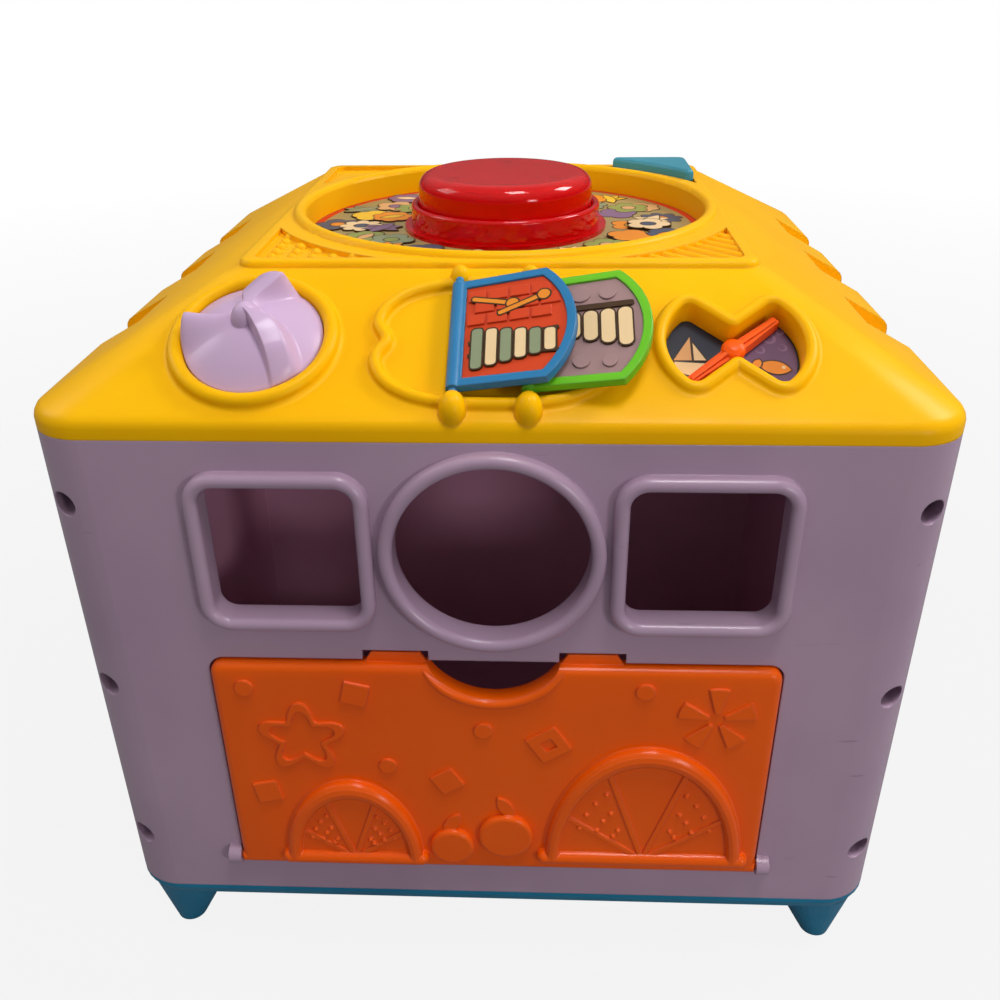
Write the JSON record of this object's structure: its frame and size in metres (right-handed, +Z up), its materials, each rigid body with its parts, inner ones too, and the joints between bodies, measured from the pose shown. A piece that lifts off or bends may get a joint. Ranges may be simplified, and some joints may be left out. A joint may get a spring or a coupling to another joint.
{
  "type": "activity cube",
  "caption": "Free-standing toy activity cube with shape-sorting windows over a hinged bin door, a turning bow knob, turning pages, a swinging pointer and push buttons on a sloped top.",
  "frame": {"origin": "on the floor, under the middle of the whole", "axes": "+Z up, -Y out of the front with the sorter windows, +X to the right seen from the front"},
  "size_m": [0.305, 0.3124, 0.292],
  "materials": {
    "lilac_plastic": "glossy moulded",
    "knob_plastic": "glossy moulded",
    "yellow_plastic": "glossy moulded",
    "teal_plastic": "glossy moulded",
    "teal_key_plastic": "glossy moulded",
    "orange_plastic": "glossy moulded",
    "pointer_plastic": "glossy moulded",
    "red_clear_plastic": "clear tinted",
    "blue_plastic": "glossy moulded",
    "green_plastic": "glossy moulded",
    "blue_page_print": "printed relief",
    "green_page_print": "printed relief",
    "window_print": "printed card",
    "well_print": "printed sheet",
    "steel": "zinc plated",
    "white_plastic": "moulded",
    "board_green": "solder mask",
    "black_plastic": "moulded",
    "lamp_clear": "clear",
    "cell_wrap": "plain sleeve",
    "red_lead": "insulated lead",
    "black_lead": "insulated lead"
  },
  "bodies": {
    "cube": {"front_panel": "lilac_plastic", "rear_panel": "lilac_plastic", "left_panel": "lilac_plastic", "right_panel": "lilac_plastic", "sorter_bin": "lilac_plastic", "top_cover": "yellow_plastic", "base_tray": "teal_plastic", "battery_cover": "teal_plastic", "button_collar": "red_clear_plastic", "window_card": "window_print", "well_disc": "well_print", "panel_screws": "steel", "base_screws": "steel", "cover_screws": "steel", "bin_screws": "steel", "button_spring": "steel", "corner_spring": "steel", "board_screws": "steel", "speaker_screws": "steel", "battery_contacts": "steel", "battery_cover_screw": "steel", "lamp_holder": "white_plastic", "speaker_clamp": "white_plastic", "circuit_board": "board_green", "press_switches": "black_plastic", "loudspeaker": "black_plastic", "lamp": "lamp_clear", "battery_cells": "cell_wrap", "battery_lead": "red_lead", "speaker_lead": "black_lead"},
    "bin_door": {"bin_door": "orange_plastic"},
    "bow_knob": {"bow_knob": "knob_plastic", "knob_washer": "steel", "knob_screw": "steel"},
    "blue_page": {"blue_page_frame": "blue_plastic", "blue_page_insert": "blue_page_print"},
    "green_page": {"green_page_frame": "green_plastic", "green_page_insert": "green_page_print"},
    "pointer": {"pointer": "pointer_plastic", "pointer_washer": "steel", "pointer_screw": "steel"},
    "red_button": {"button_cap": "red_clear_plastic", "button_plate": "white_plastic", "plate_screws": "steel"},
    "corner_button": {"corner_button": "teal_key_plastic", "corner_washer": "steel", "corner_screw": "steel"}
  },
  "joints": [
    {"name": "door_hinge", "type": "hinge", "parent": "cube", "child": "bin_door", "pos_m": [0, -0.14925, 0.054], "axis": [1, 0, 0], "range_deg": [0, 95]},
    {"name": "knob_turn", "type": "hinge", "parent": "cube", "child": "bow_knob", "pos_m": [-0.0795, -0.11904, 0.25963], "axis": [0, -0.4842, 0.875], "continuous": true},
    {"name": "blue_page_hinge", "type": "hinge", "parent": "cube", "child": "blue_page", "pos_m": [-0.012, -0.12068, 0.2626], "axis": [0, -0.875, -0.4842], "range_deg": [0, 158]},
    {"name": "green_page_hinge", "type": "hinge", "parent": "cube", "child": "green_page", "pos_m": [0.012, -0.12068, 0.2626], "axis": [0, -0.875, -0.4842], "range_deg": [0, 158]},
    {"name": "pointer_swing", "type": "hinge", "parent": "cube", "child": "pointer", "pos_m": [0.079, -0.11904, 0.25963], "axis": [0, -0.4842, 0.875], "range_deg": [-82, 0]},
    {"name": "red_button_press", "type": "slide", "parent": "cube", "child": "red_button", "axis": [0, 0, -1], "range_m": [0, 0.004], "stiffness_N_per_m": 500, "springref_m": -0.004, "deforming": ["button_spring"]},
    {"name": "corner_button_press", "type": "slide", "parent": "cube", "child": "corner_button", "axis": [0, 0, -1], "range_m": [0, 0.0025], "stiffness_N_per_m": 400, "springref_m": -0.003, "deforming": ["corner_spring"]}
  ],
  "couplings": [
    {"joint": "green_page_hinge", "follows": "blue_page_hinge", "ratio": 1}
  ]
}
